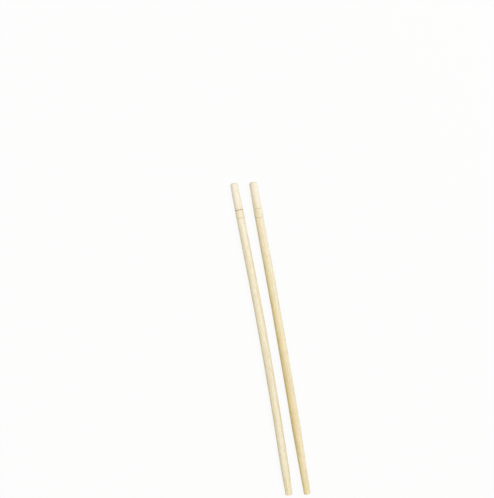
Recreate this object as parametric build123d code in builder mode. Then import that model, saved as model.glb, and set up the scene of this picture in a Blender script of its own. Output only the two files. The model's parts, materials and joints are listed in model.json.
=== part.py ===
from build123d import *
import math
import os

# A pair of round bamboo chopsticks lying side by side, in millimetres.
# The sticks run along Y with their butts towards +Y and their tips towards -Y.
# They lie on Z = 0, and the origin is under the middle of the pair.

# Sizes that both sticks share
stick_length = 200.0
butt_taper_length = 30.0
butt_taper_blend = 6.0
butt_rounding = 1.4
grip_length = 25.0
tip_neck_length = 4.0
tip_edge_rounding = 0.35

# Left stick
left_body_diameter = 5.3
left_butt_diameter = 4.7
left_tip_diameter = 4.25
left_tip_taper_length = 26.0
left_tip_taper_blend = 10.0
left_bow_turn = 2.36
left_lean = 1.14

# Right stick
right_body_diameter = 5.6
right_butt_diameter = 5.0
right_tip_diameter = 4.1
right_tip_taper_length = 45.0
right_tip_taper_blend = 8.0
right_bow_turn = 0.96
right_lean = 0.41

# How the two lie beside each other
butt_spacing = 12.0
stagger = 1.4
bow_allowance = 0.5

# Each axis lies at the height of its body's radius, so the body touches the ground all along
# and the thinner ends stand a little clear of it.
left_butt_end = (
    -butt_spacing / 2 - bow_allowance,
    (stick_length + stagger) / 2,
    left_body_diameter / 2,
)
right_butt_end = (
    butt_spacing / 2 - bow_allowance,
    (stick_length - stagger) / 2,
    right_body_diameter / 2,
)


def chopstick(
    butt_end,
    lean,
    bow_turn,
    body_diameter,
    butt_diameter,
    tip_diameter,
    tip_taper_length,
    tip_taper_blend,
):
    """One stick: a turned butt with the straight grip, a bowed body and a turned tip.

    butt_end is the middle of the butt's end face. lean is the angle in degrees by which the
    grip runs off the -Y direction towards +X, and bow_turn is how far the bow turns it back.
    """
    heading = Vector(0, -1, 0).rotate(Axis.Z, lean)
    butt_plane = Plane(origin=butt_end, x_dir=heading, z_dir=(0, 0, 1))
    bow_length = (
        stick_length - butt_taper_length - grip_length - tip_neck_length - tip_taper_length
    )
    bow_radius = bow_length / math.radians(bow_turn)

    # The centre line: straight through the grip, one even arc, straight to the tip.
    with BuildLine(butt_plane):
        grip_run = Line((0, 0), (butt_taper_length + grip_length, 0))
        bow = JernArc(grip_run @ 1, grip_run % 1, bow_radius, -bow_turn)
        tip_run = PolarLine(bow @ 1, tip_neck_length + tip_taper_length, direction=bow % 1)

    tip_plane = Plane(origin=tip_run @ 1, x_dir=-(tip_run % 1), z_dir=(0, 0, 1))
    body_radius = body_diameter / 2
    turned_ends = (
        (butt_plane, butt_diameter, butt_rounding, butt_taper_length, butt_taper_blend, grip_length),
        (tip_plane, tip_diameter, tip_edge_rounding, tip_taper_length, tip_taper_blend, tip_neck_length),
    )

    with BuildPart() as stick:
        # Each end is turned about its own straight run: a flat end face, a rounded edge, a cone
        # that blends into the full width, and the full width itself up to the bow.
        for plane, end_diameter, rounding, taper_length, taper_blend, straight_length in turned_ends:
            end_radius = end_diameter / 2
            run_length = taper_length + straight_length
            with BuildSketch(plane):
                with BuildLine():
                    Line((0, 0), (0, end_radius - rounding))
                    CenterArc((rounding, end_radius - rounding), rounding, 90, 90)
                    Bezier(
                        (rounding, end_radius),
                        (taper_length - taper_blend, body_radius),
                        (taper_length, body_radius),
                    )
                    Line((taper_length, body_radius), (run_length, body_radius))
                    Polyline((run_length, body_radius), (run_length, 0), (0, 0))
                make_face()
            revolve(axis=Axis(plane.origin, plane.x_dir))

        # The bowed body keeps the full width.
        with BuildSketch(Plane(origin=bow @ 0, z_dir=bow % 0)):
            Circle(body_radius)
        sweep(path=bow)
    return stick


chopstick_left = chopstick(
    left_butt_end,
    left_lean,
    left_bow_turn,
    left_body_diameter,
    left_butt_diameter,
    left_tip_diameter,
    left_tip_taper_length,
    left_tip_taper_blend,
)
chopstick_right = chopstick(
    right_butt_end,
    right_lean,
    right_bow_turn,
    right_body_diameter,
    right_butt_diameter,
    right_tip_diameter,
    right_tip_taper_length,
    right_tip_taper_blend,
)

os.makedirs("parts", exist_ok=True)
chopstick_left.part.label = "chopstick_left"
export_step(chopstick_left.part, "parts/chopstick_left.step")
chopstick_right.part.label = "chopstick_right"
export_step(chopstick_right.part, "parts/chopstick_right.step")
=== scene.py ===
"""A pair of round bamboo chopsticks: their finished surfaces, their bamboo and the studio round them.

Each stick is one closed surface of two parameters, its distance along the stick and its angle round it.
The frame gives every place: where the grips and tips lie, which way they point and how wide the body is.
"""

import json
import math

import bpy
import numpy as np
from mathutils import Matrix, Vector


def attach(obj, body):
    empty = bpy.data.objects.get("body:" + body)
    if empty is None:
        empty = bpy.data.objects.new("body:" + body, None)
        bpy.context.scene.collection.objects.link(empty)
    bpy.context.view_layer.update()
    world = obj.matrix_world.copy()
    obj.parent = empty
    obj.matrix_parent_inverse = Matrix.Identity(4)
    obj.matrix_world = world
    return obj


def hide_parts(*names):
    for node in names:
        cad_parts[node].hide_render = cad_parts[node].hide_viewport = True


bl_info = {
    "name": "Bamboo Chopsticks",
    "version": (1, 0, 0),
    "blender": (4, 5, 0),
    "location": "3D View > Sidebar > Chopsticks",
    "description": "Builds a pair of round bamboo chopsticks with their grain and nodes, and a studio",
    "category": "Add Mesh",
}

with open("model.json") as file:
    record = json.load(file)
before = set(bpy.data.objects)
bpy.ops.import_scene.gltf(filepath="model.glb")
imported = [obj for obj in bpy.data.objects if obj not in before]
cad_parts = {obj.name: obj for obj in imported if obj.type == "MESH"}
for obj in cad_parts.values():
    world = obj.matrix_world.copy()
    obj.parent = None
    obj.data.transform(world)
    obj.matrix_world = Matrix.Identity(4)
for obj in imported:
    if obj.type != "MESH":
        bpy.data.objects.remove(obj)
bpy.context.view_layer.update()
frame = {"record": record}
MOUNTS = {mount["name"]: mount for mount in frame["record"]["mounts"]}
MILLIMETRE = 0.001

# Rows over each flat end, each rounded edge and the side of a stick's surface, and columns round it
FACE_ROWS, EDGE_ROWS, SIDE_ROWS, COLUMNS = 8, 12, 640, 128

# Waves round a stick: how many go round it, and their height in millimetres
WAVES = ((2, 0.030), (3, 0.018), (5, 0.010), (9, 0.006), (14, 0.005), (21, 0.005), (29, 0.004))

# Heights in millimetres of the node's swelling, its two grooves and the nicks in the tip's edge
SWELLING, NEAR_GROOVE, FAR_GROOVE, NICKS = 0.055, 0.055, 0.030, 0.035

# How far a groove and the nicks reach along the stick, in metres
GROOVE_REACH, NICK_REACH = 0.00035, 0.0006

# The share of a flat end's radius inside its first row, and of the relief that moves its edge lengthwise
FACE_START, EDGE_RELIEF = 0.12, 0.4

# What the random waves of each stick start from
SEEDS = {"left": 11, "right": 23}

# The photograph: its size in pixels, the length of one pixel on the sticks and where the left butt lies
IMAGE_WIDTH, IMAGE_HEIGHT = 494, 498
PIXEL = 0.2 / 316.6
LEFT_BUTT_PIXEL = (233.65, 183.2)


def length(name, description, default):
    """A size in metres, shown with its unit."""
    return bpy.props.FloatProperty(
        name=name,
        description=description,
        default=default,
        min=0.0,
        precision=5,
        subtype="DISTANCE",
        unit="LENGTH",
    )


def angle(name, description, default):
    """An angle in radians, shown in degrees."""
    return bpy.props.FloatProperty(
        name=name, description=description, default=math.radians(default), subtype="ANGLE", unit="ROTATION"
    )


def share(name, description, default):
    """A part of one, from nothing to all."""
    return bpy.props.FloatProperty(
        name=name, description=description, default=default, min=0.0, max=1.0, subtype="FACTOR"
    )


def colour(name, description, default):
    """A linear colour."""
    return bpy.props.FloatVectorProperty(
        name=name, description=description, default=default, min=0.0, max=1.0, size=3, subtype="COLOR"
    )


class StickSizes:
    """The sizes that each stick has; each stick's own class gives those that differ."""

    butt_taper: length("Butt taper", "Length of the cone behind the butt", 0.030)
    butt_blend: length("Butt blend", "Length over which the butt's cone runs out into the body", 0.006)
    butt_rounding: length("Butt rounding", "Radius of the butt's edge", 0.0014)
    tip_rounding: length("Tip rounding", "Radius of the tip's broken edge", 0.00035)


class LeftStick(StickSizes, bpy.types.PropertyGroup):
    """The left stick's own sizes."""

    butt_width: length("Butt width", "Diameter of the butt at its edge", 0.0047)
    tip_width: length("Tip width", "Diameter of the tip at its edge", 0.00425)
    tip_taper: length("Tip taper", "Length of the cone behind the tip", 0.026)
    tip_blend: length("Tip blend", "Length over which the tip's cone runs out into the body", 0.010)
    node_place: length("Node", "Distance of the culm's node from the butt", 0.0173)
    node_spread: length("Node spread", "Distance between the node's two rings", 0.0052)
    node_strength: share("Node strength", "How dark the node's main ring is", 0.88)
    ridge_strength: share("Ridge strength", "How dark the node's second ring is", 0.40)
    # The growth side is turned to the shaded side, so the gold that follows the culm's outside is partly
    # painted shade.
    growth_and_shade_side: angle("Growth side", "Which side of the stick was the outside of the culm", 205.0)
    # The rind is partly painted shade: a deeper, yellower tint along the shaded edge, which the tip's shift
    # carries nearer the tip.
    rind_and_shade_strength: share("Rind strength", "How dark the wood next to the culm's skin is", 0.60)
    tip_rind_and_shade_shift: length("Tip outward", "How much nearer the culm's skin the tip lies than the butt", 0.0)
    warmth: share("Warmth", "How far the bamboo's colour leans to gold", 0.12)
    # Outer gold is partly the culm's own colour and partly painted shade on the shaded side.
    outer_and_shade_gold: share("Outer gold", "How much more golden the culm's outside is than its inside", 0.80)
    bleached_length: length("Bleached length", "How far the pale wood reaches from the butt", 0.060)


class RightStick(StickSizes, bpy.types.PropertyGroup):
    """The right stick's own sizes."""

    butt_width: length("Butt width", "Diameter of the butt at its edge", 0.0050)
    tip_width: length("Tip width", "Diameter of the tip at its edge", 0.0041)
    tip_taper: length("Tip taper", "Length of the cone behind the tip", 0.045)
    tip_blend: length("Tip blend", "Length over which the tip's cone runs out into the body", 0.008)
    node_place: length("Node", "Distance of the culm's node from the butt", 0.0171)
    node_spread: length("Node spread", "Distance between the node's two rings", 0.0057)
    node_strength: share("Node strength", "How dark the node's main ring is", 0.28)
    ridge_strength: share("Ridge strength", "How dark the node's second ring is", 0.32)
    # The growth side is turned to the shaded side, so the gold that follows the culm's outside is partly
    # painted shade.
    growth_and_shade_side: angle("Growth side", "Which side of the stick was the outside of the culm", 160.0)
    # The rind is partly painted shade: a deeper, yellower tint along the shaded edge, which the tip's shift
    # carries nearer the tip.
    rind_and_shade_strength: share("Rind strength", "How dark the wood next to the culm's skin is", 0.85)
    tip_rind_and_shade_shift: length("Tip outward", "How much nearer the culm's skin the tip lies than the butt", 0.0010)
    warmth: share("Warmth", "How far the bamboo's colour leans to gold", 0.46)
    # Outer gold is partly the culm's own colour and partly painted shade on the shaded side.
    outer_and_shade_gold: share("Outer gold", "How much more golden the culm's outside is than its inside", 1.0)
    bleached_length: length("Bleached length", "How far the pale wood reaches from the butt", 0.110)


class BambooLook(bpy.types.PropertyGroup):
    """The bamboo's colours."""

    pith: colour("Pith", "The pale ground between the fibre bundles", (0.915, 0.85, 0.64))
    # Gold also serves as painted shade, where the outer gold turns the shaded side towards it.
    gold: colour("Gold", "The ground of the warmer wood", (0.82, 0.68, 0.35))
    bleached: colour("Bleached", "The sanded wood near the butt", (0.95, 0.90, 0.76))
    blush: colour("Blush", "What tints the pinker streaks", (1.0, 0.955, 0.945))
    straw: colour("Straw", "What tints the yellower streaks and the tips", (0.98, 0.98, 0.82))
    # Rind tint: partly painted shade, which deepens and yellows the shaded edge.
    rind_and_shade: colour("Rind", "What tints the dense wood next to the culm's skin", (0.86, 0.86, 0.66))
    strand: colour("Strand", "The fibre bundles", (0.67, 0.50, 0.25))
    pore: colour("Pore", "The bundles' middles and the opened vessels", (0.34, 0.20, 0.08))
    ring: colour("Ring", "The node's rings", (0.40, 0.24, 0.10))


class StudioLook(bpy.types.PropertyGroup):
    """The camera, the lamps and the floor."""

    lens: bpy.props.FloatProperty(
        name="Lens", description="Focal length", default=85.0, min=1.0, unit="CAMERA"
    )
    roll: angle("Roll", "How far the photograph is turned from the sticks' own direction", 9.975)
    floor_colour: colour("Floor", "The floor's own colour", (0.82, 0.81, 0.78))
    whiteness: share("Whiteness", "How much of the floor's look is plain white", 0.91)
    ambient: share("Ambient", "How brightly the even light alone lights level ground; 1 is white", 0.44)
    key: share("Key", "How brightly the main lamp alone lights level ground", 0.53)
    fill: share("Fill", "How brightly the fill lamp alone lights level ground", 0.11)


class ChopstickSettings(bpy.types.PropertyGroup):
    """Everything that can be set."""

    left: bpy.props.PointerProperty(type=LeftStick, name="Left stick", description="Its own sizes")
    right: bpy.props.PointerProperty(type=RightStick, name="Right stick", description="Its own sizes")
    bamboo: bpy.props.PointerProperty(type=BambooLook, name="Bamboo", description="Colours of the bamboo")
    studio: bpy.props.PointerProperty(type=StudioLook, name="Studio", description="Camera, lamps and floor")


class CentreLine:
    """A stick's axis: straight from the butt through the grip, one even arc, straight to the tip.

    The grip's pin and the tip's face in the frame give both straight runs. The arc starts where the grip
    ends and touches both runs, so its tangents are as long as from there to where the two runs would cross.
    """

    def __init__(self, side, sizes):
        grip, tip = MOUNTS[f"{side}_grip"], MOUNTS[f"{side}_tip_face"]
        self.body_radius = grip["dims"]["r_mm"] * MILLIMETRE
        self.height = grip["pos_m"][2]
        grip_length = grip["dims"]["length_mm"] * MILLIMETRE
        self.heading = -np.array(grip["axis"][:2])
        last_heading = np.array(tip["axis"][:2])
        self.butt = np.array(grip["pos_m"][:2]) - self.heading * (grip_length / 2 + sizes.butt_taper)
        self.bow_start = sizes.butt_taper + grip_length
        start = self.butt + self.heading * self.bow_start
        tip_end = np.array(tip["pos_m"][:2])
        tangent, _ = np.linalg.solve(np.column_stack([self.heading, last_heading]), tip_end - start)
        cross = self.heading[0] * last_heading[1] - self.heading[1] * last_heading[0]
        self.turn = math.asin(cross)
        self.radius = tangent / math.tan(self.turn / 2)
        self.bow_end = self.bow_start + self.radius * self.turn
        last_run = np.linalg.norm(tip_end - start - tangent * (self.heading + last_heading))
        self.length = self.bow_end + last_run

    def at(self, distance):
        """The axis's places in the plane, and its directions, at an array of distances from the butt."""
        before = np.minimum(distance, self.bow_start)
        swing = np.clip((distance - self.bow_start) / self.radius, *sorted((0.0, self.turn)))
        after = np.maximum(distance - self.bow_end, 0.0)
        ahead = np.ones_like(distance)[..., None] * self.heading
        aside = np.stack([-ahead[..., 1], ahead[..., 0]], -1)
        direction = np.cos(swing)[..., None] * ahead + np.sin(swing)[..., None] * aside
        forward = before + self.radius * np.sin(swing)
        sideways = self.radius * (1 - np.cos(swing))
        place = self.butt + forward[..., None] * ahead + sideways[..., None] * aside
        return place + after[..., None] * direction, direction


def cone_radius(distance, end_radius, rounding, taper, blend, body_radius):
    """Radius of a turned end at each distance from its face.

    A quadratic Bezier curve from the edge's rounding to the full width, whose middle point lies on the
    body's surface, so it is a cone that runs out into the body without a corner.
    """
    t = np.linspace(0.0, 1.0, 200)
    along = (1 - t) ** 2 * rounding + 2 * t * (1 - t) * (taper - blend) + t**2 * taper
    radius = (1 - t) ** 2 * end_radius + (1 - (1 - t) ** 2) * body_radius
    return np.interp(distance, along, radius)


def end_rows(end_radius, rounding):
    """Rows over one end, from near the middle of its face to just before its side.

    Returns three arrays: distance from the face, radius, and the angle of the surface's normal, which is
    0 on the face and a quarter turn on the side. The face is flat and its edge is a quarter circle.
    """
    flat = np.linspace(FACE_START, 1.0, FACE_ROWS, endpoint=False) * (end_radius - rounding)
    sweep = np.linspace(0.0, math.pi / 2, EDGE_ROWS, endpoint=False)
    distance = np.concatenate([np.zeros(FACE_ROWS), rounding * (1 - np.cos(sweep))])
    radius = np.concatenate([flat, end_radius - rounding * (1 - np.sin(sweep))])
    return distance, radius, np.concatenate([np.zeros(FACE_ROWS), sweep])


def outline(sizes, line):
    """The stick's outline from near the middle of the butt's face to near the middle of the tip's face.

    Returns distance from the butt, radius and the normal's angle, which is 0 where the surface faces the
    butt, a quarter turn on the side and a half turn where it faces the tip. The side is as wide as the
    narrower of the two cones, and each cone is the body's width beyond its own length.
    """
    butt_radius, tip_radius = sizes.butt_width / 2, sizes.tip_width / 2
    butt = end_rows(butt_radius, sizes.butt_rounding)
    tip = [row[::-1] for row in end_rows(tip_radius, sizes.tip_rounding)]
    side = np.linspace(sizes.butt_rounding, line.length - sizes.tip_rounding, SIDE_ROWS)
    from_tip = line.length - side
    body = line.body_radius
    butt_side = cone_radius(side, butt_radius, sizes.butt_rounding, sizes.butt_taper, sizes.butt_blend, body)
    tip_side = cone_radius(from_tip, tip_radius, sizes.tip_rounding, sizes.tip_taper, sizes.tip_blend, body)
    distance = np.concatenate([butt[0], side, line.length - tip[0]])
    radius = np.concatenate([butt[1], np.minimum(butt_side, tip_side), tip[1]])
    normal = np.concatenate([butt[2], np.full(SIDE_ROWS, math.pi / 2), math.pi - tip[2]])
    return distance, radius, normal


def relief(distance, turn, sizes, line, seed):
    """How far the worked surface stands off the turned one, in metres, at each distance and angle.

    Waves round the stick give the out-of-round section and the fine ridges of its fibres; their phases
    drift along it. Longer waves along it vary its width. The node is a low swelling between two grooves
    that wander round the stick, and the tip's edge has small nicks.
    """
    rng = np.random.default_rng(seed)
    ridges = np.zeros(np.broadcast_shapes(distance.shape, turn.shape))
    for waves, height in WAVES:
        phase, drift, wander, pace = rng.uniform((0, -9, 0.2, 40), (6.28, 9, 0.9, 110))
        place = phase + drift * distance + wander * np.sin(pace * distance + phase)
        ridges = ridges + height * np.cos(waves * turn + place)
    width = sum(
        rng.uniform(0.008, 0.018) * np.sin(2 * math.pi * distance / wavelength + rng.uniform(0, 6.28))
        for wavelength in (0.083, 0.047, 0.029)
    )
    near, far = sizes.node_place, sizes.node_place + sizes.node_spread
    wobble = 0.00022 * np.sin(turn + rng.uniform(0, 6.28))
    wobble = wobble + 0.00009 * np.sin(4 * turn + rng.uniform(0, 6.28))
    swelling = SWELLING * np.exp(-(((distance - (near + far) / 2) / sizes.node_spread) ** 2) * 2)
    grooves = sum(
        -depth * np.exp(-(((distance + wobble - place) / GROOVE_REACH) ** 2))
        for place, depth in ((near, NEAR_GROOVE), (far, FAR_GROOVE))
    )
    nick = rng.uniform(0, 6.28)
    nicks = -NICKS * np.maximum(np.sin(7 * turn + nick) * np.sin(3 * turn - nick), 0)
    at_tip = np.exp(-(((line.length - distance) / NICK_REACH) ** 2))
    return (ridges + width + swelling + grooves + nicks * at_tip) * MILLIMETRE


def stick_surface(line, sizes, seed):
    """The stick's vertices, grain coordinates and faces.

    Row by row, a circle of the outline's radius stands across the centre line, at the outline's distance
    along it, and each point moves off along the outline's normal by the relief. One more vertex closes
    each end, and nothing goes below the ground. The grain coordinates are the place towards the culm's
    outside, round the culm and along it, in millimetres.
    """
    distance, radius, normal = (column[:, None] for column in outline(sizes, line))
    turn = np.linspace(0.0, 2 * math.pi, COLUMNS, endpoint=False)[None, :]
    lift = relief(distance, turn, sizes, line, seed)
    on_side = np.sin(normal)
    distance = distance - np.cos(normal) * lift * EDGE_RELIEF * on_side
    radius = radius + on_side * lift
    place, direction = line.at(distance)
    aside = np.stack([-direction[..., 1], direction[..., 0]], -1)
    across = radius * np.cos(turn)
    up = np.maximum(radius * np.sin(turn), -line.height)
    flat = place + aside * across[..., None]
    points = np.concatenate([flat, (line.height + up)[..., None]], -1)
    # The culm's outside points to the growth side, which faces the shaded side; the gold and rind that follow
    # it are partly painted shade.
    grain_turn = turn - sizes.growth_and_shade_side
    outward, sideways = radius * np.cos(grain_turn), radius * np.sin(grain_turn)
    grain = np.stack([outward, sideways, distance * np.ones_like(turn)], -1)

    ends, _ = line.at(np.array([0.0, line.length]))
    caps = [[*end, line.height] for end in ends]
    cap_grain = [[0.0, 0.0, 0.0], [0.0, 0.0, line.length]]
    rows = len(points)
    vertices = np.concatenate([points.reshape(-1, 3), caps])
    grain = np.concatenate([grain.reshape(-1, 3), cap_grain]) / MILLIMETRE

    grid = np.arange(rows * COLUMNS).reshape(rows, COLUMNS)
    beside = np.roll(grid, -1, 1)
    quads = np.stack([grid[:-1], beside[:-1], beside[1:], grid[1:]], -1).reshape(-1, 4)
    butt, tip = rows * COLUMNS, rows * COLUMNS + 1
    fans = [
        np.stack([np.full(COLUMNS, butt), beside[0], grid[0]], -1),
        np.stack([np.full(COLUMNS, tip), grid[-1], beside[-1]], -1),
    ]
    return vertices, grain, quads, np.concatenate(fans)


def mesh_object(name, vertices, grain, quads, triangles):
    """A smooth mesh object of those faces, whose vertices carry their grain coordinates."""
    mesh = bpy.data.meshes.new(name)
    corners = np.concatenate([quads.ravel(), triangles.ravel()])
    counts = np.concatenate([np.full(len(quads), 4), np.full(len(triangles), 3)])
    mesh.vertices.add(len(vertices))
    mesh.loops.add(len(corners))
    mesh.polygons.add(len(counts))
    mesh.vertices.foreach_set("co", vertices.astype(np.float32).ravel())
    mesh.loops.foreach_set("vertex_index", corners.astype(np.int32))
    mesh.polygons.foreach_set("loop_start", (np.cumsum(counts) - counts).astype(np.int32))
    mesh.polygons.foreach_set("use_smooth", np.ones(len(counts), bool))
    place = mesh.attributes.new("grain", "FLOAT_VECTOR", "POINT")
    place.data.foreach_set("vector", grain.astype(np.float32).ravel())
    mesh.update(calc_edges=True)
    mesh.validate()
    piece = bpy.data.objects.new(name, mesh)
    bpy.context.scene.collection.objects.link(piece)
    return piece


class Socket:
    """A node's output that Python's arithmetic works on; each operation adds one Math node."""

    def __init__(self, shader, output):
        self.shader = shader
        self.output = output

    def math(self, operation, *operands, clamp=False):
        """A Math node on these operands, in their order."""
        settings = {"operation": operation, "use_clamp": clamp}
        return self.shader.node("ShaderNodeMath", settings, dict(enumerate(operands)))

    def __add__(self, other):
        return self.math("ADD", self, other)

    def __radd__(self, other):
        return self.math("ADD", other, self)

    def __sub__(self, other):
        return self.math("SUBTRACT", self, other)

    def __rsub__(self, other):
        return self.math("SUBTRACT", other, self)

    def __mul__(self, other):
        return self.math("MULTIPLY", self, other)

    def __rmul__(self, other):
        return self.math("MULTIPLY", other, self)

    def __truediv__(self, other):
        return self.math("DIVIDE", self, other)

    def __abs__(self):
        return self.math("ABSOLUTE", self)

    def clamped(self):
        """The value kept between 0 and 1."""
        return self.math("ADD", self, 0.0, clamp=True)


class Shader:
    """A material's node tree, with one method that adds any node."""

    def __init__(self, name):
        self.material = bpy.data.materials.new(name)
        self.material.use_nodes = True
        self.tree = self.material.node_tree
        self.tree.nodes.clear()

    def node(self, kind, settings=None, inputs=None, output=0):
        """Adds a node, sets its settings, then its sockets' values or links, and gives one output."""
        made = self.tree.nodes.new(kind)
        for name, setting in (settings or {}).items():
            setattr(made, name, setting)
        for name, value in (inputs or {}).items():
            if isinstance(value, Socket):
                self.tree.links.new(value.output, made.inputs[name])
            else:
                made.inputs[name].default_value = value
        return Socket(self, made.outputs[output]) if len(made.outputs) else None

    def split(self, vector):
        """A vector's three numbers."""
        parts = self.node("ShaderNodeSeparateXYZ", inputs={0: vector})
        return [Socket(self, part) for part in parts.output.node.outputs]

    def join(self, x, y, z):
        """A vector of three numbers."""
        return self.node("ShaderNodeCombineXYZ", inputs={0: x, 1: y, 2: z})

    def noise(self, place, detail, roughness):
        """Soft noise, about one half on average."""
        inputs = {"Vector": place, "Scale": 1.0, "Detail": detail, "Roughness": roughness}
        return self.node("ShaderNodeTexNoise", {"noise_dimensions": "3D"}, inputs)

    def cells(self, place, scale, randomness=1.0):
        """Distance to the nearest cell's middle."""
        inputs = {"Vector": place, "Scale": scale, "Randomness": randomness}
        return self.node("ShaderNodeTexVoronoi", {"feature": "F1"}, inputs, "Distance")

    def step(self, value, low, high):
        """0 below low, 1 above high and a smooth ramp between; the other way round if low is above high."""
        rising = low < high
        inputs = {"Value": value, "From Min": min(low, high), "From Max": max(low, high)}
        inputs |= {"To Min": 0.0 if rising else 1.0, "To Max": 1.0 if rising else 0.0}
        return self.node("ShaderNodeMapRange", {"interpolation_type": "SMOOTHSTEP"}, inputs)

    def mix(self, amount, first, second, blend="MIX"):
        """A colour between two colours, or between the first and its product with the second."""
        settings = {"data_type": "RGBA", "clamp_factor": True, "blend_type": blend}
        colours = [c if isinstance(c, Socket) else (*c, 1.0) for c in (first, second)]
        return self.node("ShaderNodeMix", settings, {0: amount, 6: colours[0], 7: colours[1]}, 2)


class Grain:
    """What the bamboo's grain does at each point of a stick, worked out from the point's place in the culm.

    Fibre bundles are cells across the culm, drawn out along it and crowded towards its outside. Fine fibres
    and the vessels that sanding opened are smaller cells, and flecks, patches and clouds are noise, all
    drawn out along the culm too. At the culm's node the bundles weave about.
    """

    def __init__(self, s, sizes, line):
        place = s.node("ShaderNodeAttribute", {"attribute_name": "grain"}, output="Vector")
        self.s = s
        self.outward, self.sideways, self.along = s.split(place)
        self.end = line.length / MILLIMETRE
        self.near = sizes.node_place / MILLIMETRE
        self.far = self.near + sizes.node_spread / MILLIMETRE
        self.from_node = abs(self.along - (self.near + self.far) / 2)
        self.cut = s.step(self.along, 0.7, 0.1) + s.step(self.along, self.end - 0.25, self.end - 0.05)

        self.silk = self.noise(7.0, 0.20, 3.0, 0.65)
        self.fray = (self.silk - 0.5) * 0.45
        self.fleck = self.noise(2.0, 0.40, 2.0, 0.6)
        self.mottle = self.noise(1.1, 0.24, 3.0, 0.6)
        self.hue = self.noise(0.6, 0.045, 2.0, 0.6)
        self.cloud = self.noise(0.22, 0.035)

        sway = self.noise(0.10, 0.018, 1.0) - 0.5
        weave = (self.noise(0.6, 0.28) - 0.5) * 2.0 * s.step(self.from_node, 8.0, 1.5)
        depth = self.outward + self.outward * self.outward * 0.09 + sway * 1.2 + weave
        round_culm = self.sideways + sway * 0.8 - weave * 0.8
        frayed = s.join(depth + self.fray, round_culm - self.fray, self.along * 0.008)
        nearest = s.cells(frayed, 1.55, 0.9)
        nearest_fine = s.cells(s.join(depth, round_culm, self.along * 0.030), 3.4)
        nearest_vessel = s.cells(s.join(depth, round_culm, self.along * 0.07), 2.6)
        self.bundle = s.step(nearest, 0.33, 0.22)
        self.core = s.step(nearest, 0.16, 0.10)
        self.fibre = s.step(nearest_fine, 0.45, 0.20)
        self.vessel = s.step(nearest_vessel + self.fray * 0.6, 0.15, 0.08)

        # How near a point lies to the culm's outside, which faces the shaded side, so this is also the mask
        # of painted shade.
        self.outer = (self.outward / 5.5 + 0.5).clamped()
        self.patchy = self.along + (self.cloud - 0.5) * 14.0
        short_fade = s.step(self.patchy, 24.0, 6.0)
        long_fade = s.step(self.patchy, sizes.bleached_length / MILLIMETRE, 15.0)
        self.bleached = (short_fade + long_fade) * 0.5
        self.visible = 1.0 - self.bleached * 0.5

    def noise(self, across, lengthwise, detail=2.0, roughness=0.5):
        """Noise that changes so many times in a millimetre across the grain and along it."""
        place = self.s.join(self.outward * across, self.sideways * across, self.along * lengthwise)
        return self.s.noise(place, detail, roughness)


def ground_colour(s, grain, look, sizes):
    """The wood between the fibre bundles.

    It turns from pale to gold towards the culm's outside and in broad clouds, with pinker and yellower
    streaks. It is paler towards the butt, yellower at the tip, warmer between the node's rings, and denser
    and deeper in colour next to the culm's skin and on the cut ends. The culm's outside faces the shaded
    side, so the gold and the deeper colour there are partly the culm's own and partly painted shade on the
    shaded edge.
    """
    # The outer gold term is partly painted shade: it turns the shaded side darker and yellower.
    warm = (grain.cloud - 0.5) * 0.9 + (grain.outer - 0.5) * sizes.outer_and_shade_gold * 1.3 + sizes.warmth
    ground = s.mix(warm.clamped(), look.pith, look.gold)
    ground = s.mix(grain.bleached * 0.8, ground, look.bleached)
    ground = s.mix(s.step(grain.hue, 0.48, 0.66), ground, look.blush, "MULTIPLY")
    at_tip = s.step(grain.patchy, grain.end - 15.0, grain.end - 5.0)
    ground = s.mix(s.step(grain.hue, 0.46, 0.30) * 0.6 + at_tip * 0.7, ground, look.straw, "MULTIPLY")
    # Painted shade, partly: the rind's deeper, yellower tint lies along the shaded edge, drawn as the dense
    # wood next to the culm's skin.
    nearer = (grain.along / grain.end - 0.5) * (sizes.tip_rind_and_shade_shift / MILLIMETRE)
    rind_and_shade = s.step(grain.outward + nearer + grain.fray + (grain.cloud - 0.5) * 0.8, 2.0, 2.7)
    ground = s.mix(rind_and_shade * sizes.rind_and_shade_strength, ground, look.rind_and_shade, "MULTIPLY")
    half_spread = (grain.far - grain.near) / 2
    between = s.step(grain.from_node, half_spread + 0.6, half_spread - 0.8)
    ground = s.mix(between * sizes.node_strength * 0.22, ground, look.gold)
    return s.mix(grain.cut * 0.22, ground, look.strand)


def grain_colour(s, grain, look, ground):
    """The ground with its bundles, fine fibres, flecks and patches, and with dark cores and vessels.

    Where the surface runs along the bundles they show as streaks, on the cones they run out to points, and
    on the cut ends they are dots. Bundles, fibres and dark flecks are weaker in the paler wood near the
    butt, and pale flecks and patches are weaker on the golden side. The golden side faces the shaded side,
    so the bundles' added strength and the fewer pale marks there are partly painted shade.
    """
    # Bundles are stronger towards the culm's outside, which faces the shaded side, so this is partly painted
    # shade.
    strength = 0.40 + grain.outer * 0.14 + grain.cut * 0.33
    tone = s.mix(grain.bundle * strength * grain.visible, ground, look.strand)
    tone = s.mix(grain.fibre * 0.18 * grain.visible, tone, look.strand)
    tone = s.mix(s.step(grain.silk, 0.50, 0.66) * 0.32 * grain.visible, tone, look.strand)
    tone = s.mix(s.step(grain.fleck, 0.52, 0.68) * 0.36 * grain.visible, tone, look.strand)
    # Pale flecks and patches are weaker on the golden side, which faces the shaded side: partly painted
    # shade.
    tone = s.mix(s.step(grain.fleck, 0.48, 0.32) * (0.36 - grain.outer * 0.20), tone, look.bleached)
    tone = s.mix(s.step(grain.mottle, 0.51, 0.68) * 0.20, tone, look.strand)
    tone = s.mix(s.step(grain.mottle, 0.48, 0.32) * (0.42 - grain.outer * 0.26), tone, look.bleached)
    dark = grain.core * (0.34 + grain.cut * 0.30) * grain.visible + grain.vessel * 0.34
    return s.mix(dark, tone, look.pore)


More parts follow.
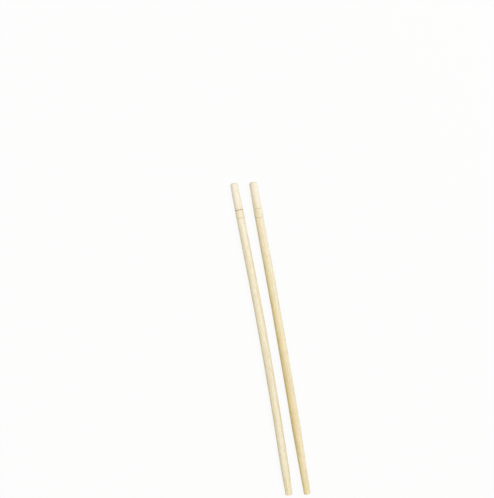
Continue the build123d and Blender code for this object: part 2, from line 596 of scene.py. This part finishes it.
def node_rings(s, grain, sizes):
    """How dark the node's two rings are: thin dark lines with soft sides, which wander and fade in places."""
    wobble = (grain.noise(0.5, 0.0) - 0.5) * 1.1 + (grain.fleck - 0.5) * 0.35
    patch = s.step(grain.noise(0.8, 0.5), 0.34, 0.62)
    rings = 0.0
    for middle, strength in ((grain.near, sizes.node_strength), (grain.far, sizes.ridge_strength)):
        off = abs(grain.along + wobble + grain.fray * 1.2 - middle)
        scar = s.step(off, 0.48, 0.14) * 0.85 + s.step(off, 0.14, 0.04) * 0.45
        rings = scar * (0.35 + patch * 0.65) * strength + rings
    return rings


def bamboo(name, look, sizes, line):
    """Bare sanded bamboo: its colour, a fine relief, and gloss that is duller in the paler wood."""
    s = Shader(name)
    grain = Grain(s, sizes, line)
    tone = grain_colour(s, grain, look, ground_colour(s, grain, look, sizes))
    tone = s.mix(node_rings(s, grain, sizes), tone, look.ring)
    height = grain.bundle * 0.3 + grain.fibre * 0.2 + grain.silk * 0.6 - grain.core * 0.3 - grain.vessel * 0.9
    bump_inputs = {"Strength": 0.4, "Distance": 0.00004, "Height": height}
    bump = s.node("ShaderNodeBump", inputs=bump_inputs, output="Normal")
    rough = 0.60 - grain.bundle * 0.10 + grain.bleached * 0.06 + (grain.silk - 0.5) * 0.12
    inputs = {"Base Color": tone, "Roughness": rough, "Normal": bump, "Specular IOR Level": 0.35}
    surface = s.node("ShaderNodeBsdfPrincipled", inputs=inputs)
    s.node("ShaderNodeOutputMaterial", inputs={"Surface": surface})
    return s.material


def floor_paint(studio):
    """A pale floor that the camera and reflections see nearly white, and that still takes the shadows.

    Away from the sticks it turns wholly white, so that it has no horizon.
    """
    s = Shader("pale_floor")
    place = s.node("ShaderNodeTexCoord", output="Object")
    away = s.node("ShaderNodeVectorMath", {"operation": "LENGTH"}, {0: place}, "Value")
    paint = s.node("ShaderNodeBsdfDiffuse", inputs={"Color": (*studio.floor_colour, 1.0)})
    white = s.node("ShaderNodeEmission", inputs={"Color": (1.0, 1.0, 1.0, 1.0), "Strength": 1.0})
    path = s.node("ShaderNodeLightPath").output.node
    from_camera = Socket(s, path.outputs["Is Camera Ray"])
    seen = from_camera.math("MAXIMUM", from_camera, Socket(s, path.outputs["Is Glossy Ray"]))
    amount = seen * (studio.whiteness + s.step(away, 0.15, 0.6) * (1.0 - studio.whiteness))
    surface = s.node("ShaderNodeMixShader", inputs={0: amount, 1: paint, 2: white})
    s.node("ShaderNodeOutputMaterial", inputs={"Surface": surface})
    return s.material


class MESH_OT_chopstick(bpy.types.Operator):
    """Build one chopstick over its place in the frame"""

    bl_idname = "mesh.chopstick"
    bl_label = "Add Chopstick"
    bl_options = {"REGISTER", "UNDO"}

    side: bpy.props.EnumProperty(
        name="Side",
        description="Which stick of the pair",
        items=[("left", "Left", "The left stick"), ("right", "Right", "The right stick")],
    )

    def execute(self, context):
        settings = context.scene.chopsticks
        sizes = getattr(settings, self.side)
        node = f"chopstick_{self.side}"
        line = CentreLine(self.side, sizes)
        piece = mesh_object(f"bamboo_{node}", *stick_surface(line, sizes, SEEDS[self.side]))
        piece.data.materials.append(bamboo(f"bamboo_{self.side}", settings.bamboo, sizes, line))
        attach(piece, "root")
        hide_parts(node)
        return {"FINISHED"}


class SCENE_OT_chopstick_studio(bpy.types.Operator):
    """Set the floor, the lamps and the camera"""

    bl_idname = "scene.chopstick_studio"
    bl_label = "Set Studio"
    bl_options = {"REGISTER", "UNDO"}

    def execute(self, context):
        studio = context.scene.chopsticks.studio
        photo_right = Vector((math.cos(studio.roll), -math.sin(studio.roll), 0.0))
        photo_up = Vector((math.sin(studio.roll), math.cos(studio.roll), 0.0))
        aim = self.image_centre(context, photo_right, photo_up)
        self.camera(context, studio, aim, photo_right, photo_up)
        self.floor(context, studio)
        self.world(context, studio)
        key_place = photo_right * 0.60 + photo_up * 0.30 + Vector((0, 0, 1.3))
        fill_place = photo_right * -0.7 - photo_up * 0.6 + Vector((0, 0, 1.2))
        self.lamp(context, "key_lamp", studio.key, 0.9, aim, key_place)
        self.lamp(context, "fill_lamp", studio.fill, 1.2, aim, fill_place)
        context.scene.view_settings.view_transform = "Standard"
        return {"FINISHED"}

    def image_centre(self, context, photo_right, photo_up):
        """The point on the sticks' plane at the photograph's middle, found from the left butt's pixel."""
        line = CentreLine("left", context.scene.chopsticks.left)
        rightward = (IMAGE_WIDTH / 2 - LEFT_BUTT_PIXEL[0]) * PIXEL
        downward = (IMAGE_HEIGHT / 2 - LEFT_BUTT_PIXEL[1]) * PIXEL
        return Vector((*line.butt, line.height)) + photo_right * rightward - photo_up * downward

    def camera(self, context, studio, aim, photo_right, photo_up):
        """A camera straight above the aim, as far off as fits the photograph's height at the sticks."""
        data = bpy.data.cameras.new("camera")
        data.lens = studio.lens
        away = IMAGE_HEIGHT * PIXEL * data.lens / data.sensor_width
        axes = Matrix((photo_right, photo_up, Vector((0, 0, 1)))).transposed()
        camera = bpy.data.objects.new("camera", data)
        camera.matrix_world = Matrix.Translation(aim + Vector((0, 0, away))) @ axes.to_4x4()
        context.scene.collection.objects.link(camera)
        context.scene.camera = camera

    def floor(self, context, studio):
        """A wide level sheet under the sticks."""
        half = 3.0
        mesh = bpy.data.meshes.new("floor")
        corners = [(-half, -half, 0), (half, -half, 0), (half, half, 0), (-half, half, 0)]
        mesh.from_pydata(corners, [], [(0, 1, 2, 3)])
        mesh.materials.append(floor_paint(studio))
        floor = bpy.data.objects.new("floor", mesh)
        context.scene.collection.objects.link(floor)

    def world(self, context, studio):
        """Even white light, which the camera and reflections see as white."""
        world = bpy.data.worlds.new("studio")
        world.use_nodes = True
        nodes, links = world.node_tree.nodes, world.node_tree.links
        path, strength = nodes.new("ShaderNodeLightPath"), nodes.new("ShaderNodeMix")
        seen = nodes.new("ShaderNodeMath")
        seen.operation = "MAXIMUM"
        links.new(path.outputs["Is Camera Ray"], seen.inputs[0])
        links.new(path.outputs["Is Glossy Ray"], seen.inputs[1])
        strength.inputs[2].default_value = studio.ambient
        strength.inputs[3].default_value = 1.0
        links.new(seen.outputs[0], strength.inputs[0])
        links.new(strength.outputs[0], nodes["Background"].inputs["Strength"])
        nodes["Background"].inputs["Color"].default_value = (1.0, 1.0, 1.0, 1.0)
        context.scene.world = world

    def lamp(self, context, name, level, size, aim, place):
        """A square soft box of that size, at that place from the aim, which it faces.

        Its power is the level times pi squared times the distance squared, over the cosine of its slant.
        """
        data = bpy.data.lights.new(name, "AREA")
        data.energy = level * math.pi**2 * place.length**3 / place.z
        data.size = size
        lamp = bpy.data.objects.new(name, data)
        facing = place.to_track_quat("Z", "Y").to_matrix().to_4x4()
        lamp.matrix_world = Matrix.Translation(aim + place) @ facing
        context.scene.collection.objects.link(lamp)


class VIEW3D_PT_chopsticks(bpy.types.Panel):
    """The sidebar's panel"""

    bl_idname = "VIEW3D_PT_chopsticks"
    bl_label = "Bamboo Chopsticks"
    bl_space_type = "VIEW_3D"
    bl_region_type = "UI"
    bl_category = "Chopsticks"

    def draw(self, context):
        settings = context.scene.chopsticks
        for side in ("left", "right"):
            self.layout.operator(MESH_OT_chopstick.bl_idname, text=f"Add {side} stick").side = side
        self.layout.operator(SCENE_OT_chopstick_studio.bl_idname)
        for group in (settings.left, settings.right, settings.bamboo, settings.studio):
            box = self.layout.box()
            for name in group.bl_rna.properties.keys():
                if name not in ("rna_type", "name"):
                    box.prop(group, name)


CLASSES = (
    LeftStick,
    RightStick,
    BambooLook,
    StudioLook,
    ChopstickSettings,
    MESH_OT_chopstick,
    SCENE_OT_chopstick_studio,
    VIEW3D_PT_chopsticks,
)


def register():
    for kind in CLASSES:
        bpy.utils.register_class(kind)
    bpy.types.Scene.chopsticks = bpy.props.PointerProperty(type=ChopstickSettings)


def unregister():
    del bpy.types.Scene.chopsticks
    for kind in reversed(CLASSES):
        bpy.utils.unregister_class(kind)


def main():
    """Builds the pair and its studio."""
    register()
    bpy.ops.scene.chopstick_studio()
    for side in ("left", "right"):
        bpy.ops.mesh.chopstick(side=side)


if __name__ == "__main__":
    main()
